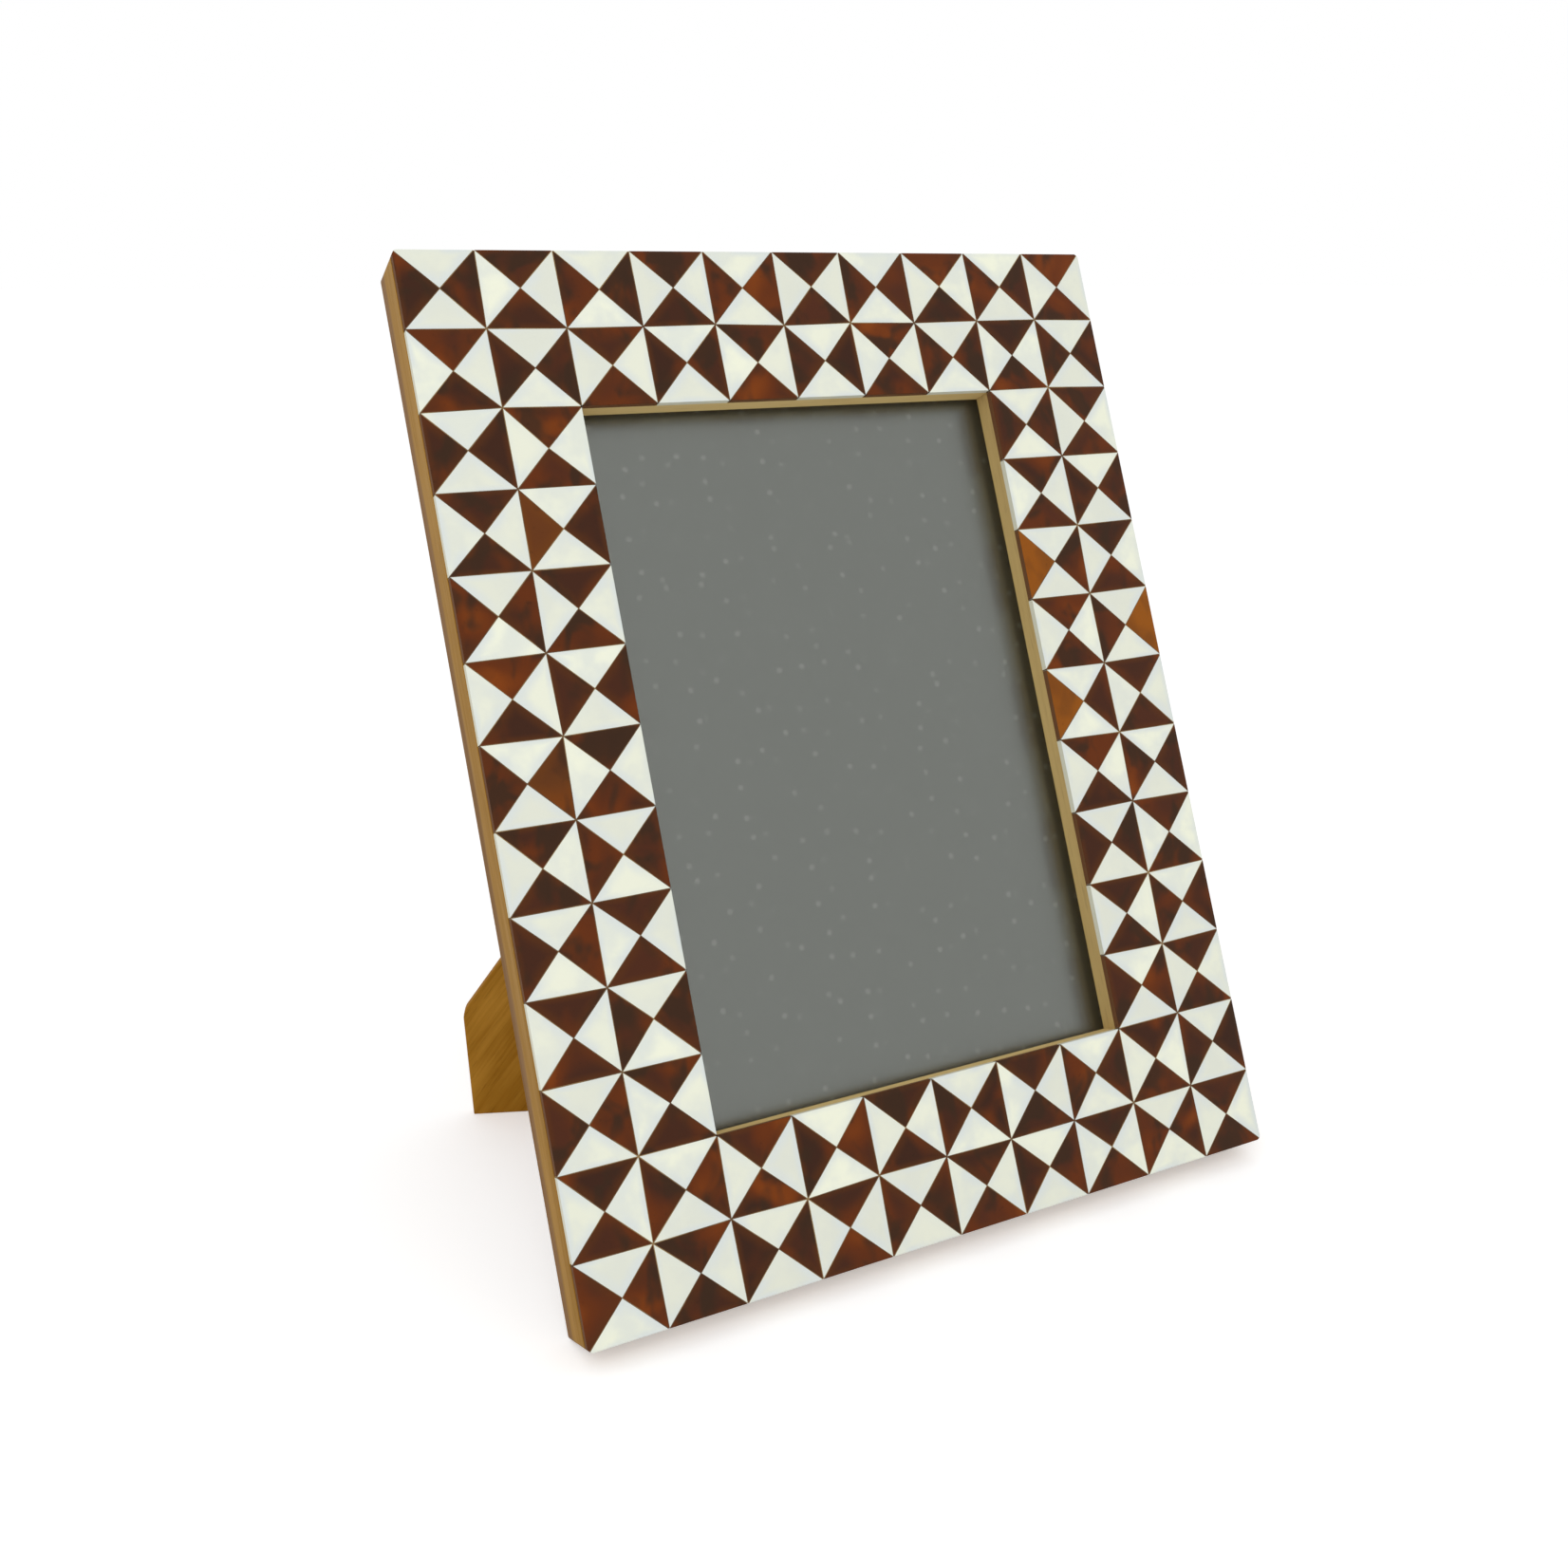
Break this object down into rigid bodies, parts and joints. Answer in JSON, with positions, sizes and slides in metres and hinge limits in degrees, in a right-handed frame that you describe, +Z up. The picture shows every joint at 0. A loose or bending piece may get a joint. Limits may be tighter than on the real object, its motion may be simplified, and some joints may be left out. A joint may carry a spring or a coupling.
{
  "type": "picture frame",
  "caption": "Tabletop picture frame with a border of triangular inlay tiles, a glazed opening, a back panel held by turn buttons, and a hinged diagonal wooden easel strut.",
  "frame": {"origin": "middle of the base of the standing frame's box, on the table", "axes": "+Z up, +X to the viewer's right, and the face looks towards -Y, leaning back by 24.5 degrees"},
  "size_m": [0.1924, 0.1216, 0.2335],
  "materials": {
    "frame_wood": "light hardwood, oiled, satin",
    "strut_wood": "brown stained hardwood, satin",
    "panel_board": "brown fibreboard, matte",
    "card": "grey-brown card, matte",
    "cream_resin": "polished cream resin",
    "dark_resin": "polished dark brown mottled resin",
    "filler": "brown filler, matte",
    "glass": "clear float glass",
    "insert_paper": "plain dark grey paper, matte",
    "brass": "brass plated steel, satin",
    "steel": "bright steel"
  },
  "bodies": {
    "frame": {"top_rail": "frame_wood", "bottom_rail": "frame_wood", "left_stile": "frame_wood", "right_stile": "frame_wood", "corner_nails": "steel", "inlay_bed": "filler", "top_cream_tiles": "cream_resin", "top_dark_tiles": "dark_resin", "bottom_cream_tiles": "cream_resin", "bottom_dark_tiles": "dark_resin", "left_cream_tiles": "cream_resin", "left_dark_tiles": "dark_resin", "right_cream_tiles": "cream_resin", "right_dark_tiles": "dark_resin", "glass_pane": "glass", "picture_insert": "insert_paper", "backing_card": "card", "back_panel": "panel_board", "hinge_fixed_leaf": "brass", "hinge_pin": "steel", "fixed_leaf_screws": "brass", "turn_button_screws": "brass"},
    "strut": {"easel_strut": "strut_wood", "hinge_moving_leaf": "brass", "moving_leaf_screws": "brass"},
    "button_top_left": {"turn_button_top_left": "brass"},
    "button_top_right": {"turn_button_top_right": "brass"},
    "button_left": {"turn_button_left": "brass"},
    "button_right": {"turn_button_right": "brass"},
    "button_bottom_left": {"turn_button_bottom_left": "brass"},
    "button_bottom_right": {"turn_button_bottom_right": "brass"}
  },
  "joints": [
    {"name": "strut_hinge", "type": "hinge", "parent": "frame", "child": "strut", "pos_m": [0.001, 0.01647, 0.13551], "axis": [-0.766, 0.2666, 0.5849], "range_deg": [0, 33.5]},
    {"name": "button_top_left_turn", "type": "hinge", "parent": "frame", "child": "button_top_left", "pos_m": [-0.035, 0.04702, 0.20483], "axis": [0, 0.91, -0.4147], "continuous": true},
    {"name": "button_top_right_turn", "type": "hinge", "parent": "frame", "child": "button_top_right", "pos_m": [0.035, 0.04702, 0.20483], "axis": [0, 0.91, -0.4147], "continuous": true},
    {"name": "button_left_turn", "type": "hinge", "parent": "frame", "child": "button_left", "pos_m": [-0.07175, 0.00529, 0.11327], "axis": [0, 0.91, -0.4147], "continuous": true},
    {"name": "button_right_turn", "type": "hinge", "parent": "frame", "child": "button_right", "pos_m": [0.07175, 0.00529, 0.11327], "axis": [0, 0.91, -0.4147], "continuous": true},
    {"name": "button_bottom_left_turn", "type": "hinge", "parent": "frame", "child": "button_bottom_left", "pos_m": [-0.035, -0.03644, 0.0217], "axis": [0, 0.91, -0.4147], "continuous": true},
    {"name": "button_bottom_right_turn", "type": "hinge", "parent": "frame", "child": "button_bottom_right", "pos_m": [0.035, -0.03644, 0.0217], "axis": [0, 0.91, -0.4147], "continuous": true}
  ]
}
